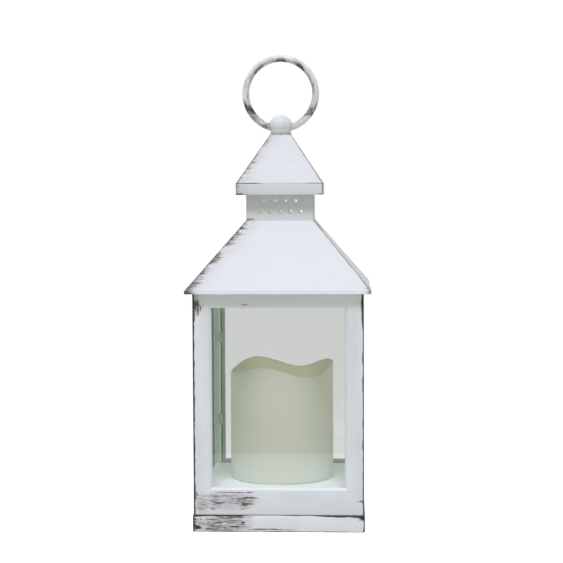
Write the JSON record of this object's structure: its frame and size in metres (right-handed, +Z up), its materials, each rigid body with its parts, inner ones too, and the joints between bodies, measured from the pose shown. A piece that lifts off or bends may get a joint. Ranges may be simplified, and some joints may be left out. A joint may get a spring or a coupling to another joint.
{
  "type": "candle lantern",
  "caption": "Square table lantern with glazed sides, pyramid roof, vent collar, swinging ring handle and a flameless battery candle.",
  "frame": {"origin": "middle of the footprint, on the table", "axes": "+Z up, front looks along -Y"},
  "size_m": [0.106, 0.106, 0.2757],
  "materials": {
    "distressed_white_paint": "matt white paint dry-brushed with dark brown",
    "window_glass": "clear with a green tint",
    "zinc_steel": "zinc plated",
    "cell_jacket": "satin",
    "plain_white": "matt",
    "candle_ivory": "waxy, translucent",
    "amber_lens": "clear amber",
    "board_green": "solder mask",
    "nickel": "nickel plated",
    "switch_black": "matt",
    "wire_red": "insulation",
    "wire_black": "insulation"
  },
  "bodies": {
    "lantern": {"finial_knob": "distressed_white_paint", "top_cap": "distressed_white_paint", "vent_collar": "distressed_white_paint", "roof": "distressed_white_paint", "eave_plate": "distressed_white_paint", "base_plinth": "distressed_white_paint", "front_frame": "distressed_white_paint", "right_frame": "distressed_white_paint", "back_frame": "distressed_white_paint", "left_frame": "distressed_white_paint", "front_pane": "window_glass", "right_pane": "window_glass", "back_pane": "window_glass", "left_pane": "window_glass", "finial_screw": "zinc_steel", "finial_washer": "zinc_steel", "cap_screws": "zinc_steel", "collar_screws": "zinc_steel", "roof_screws": "zinc_steel", "base_screws": "zinc_steel", "socket_screws": "zinc_steel", "board_screws": "zinc_steel", "switch_screws": "zinc_steel", "battery_1": "cell_jacket", "battery_2": "cell_jacket", "battery_3": "cell_jacket", "floor_plate": "plain_white", "candle_shell": "candle_ivory", "candle_socket": "plain_white", "diode_post": "plain_white", "diode": "amber_lens", "circuit_board": "board_green", "contact_springs": "nickel", "contact_plates": "nickel", "switch_body": "switch_black", "battery_wire": "wire_red", "return_wire": "wire_black", "switch_wire": "wire_black"},
    "ring": {"ring_handle": "distressed_white_paint"},
    "door": {"battery_door": "plain_white"},
    "slider": {"switch_slider": "switch_black"}
  },
  "joints": [
    {"name": "ring_swing", "type": "hinge", "parent": "lantern", "child": "ring", "pos_m": [0, 0, 0.23243], "axis": [1, 0, 0], "range_deg": [-135, 135]},
    {"name": "battery_door_swing", "type": "hinge", "parent": "lantern", "child": "door", "pos_m": [-0.0238, 0.013, 0.0049], "axis": [0, 1, 0], "range_deg": [0, 90]},
    {"name": "switch_slide", "type": "slide", "parent": "lantern", "child": "slider", "axis": [1, 0, 0], "range_m": [0, 0.004]}
  ]
}
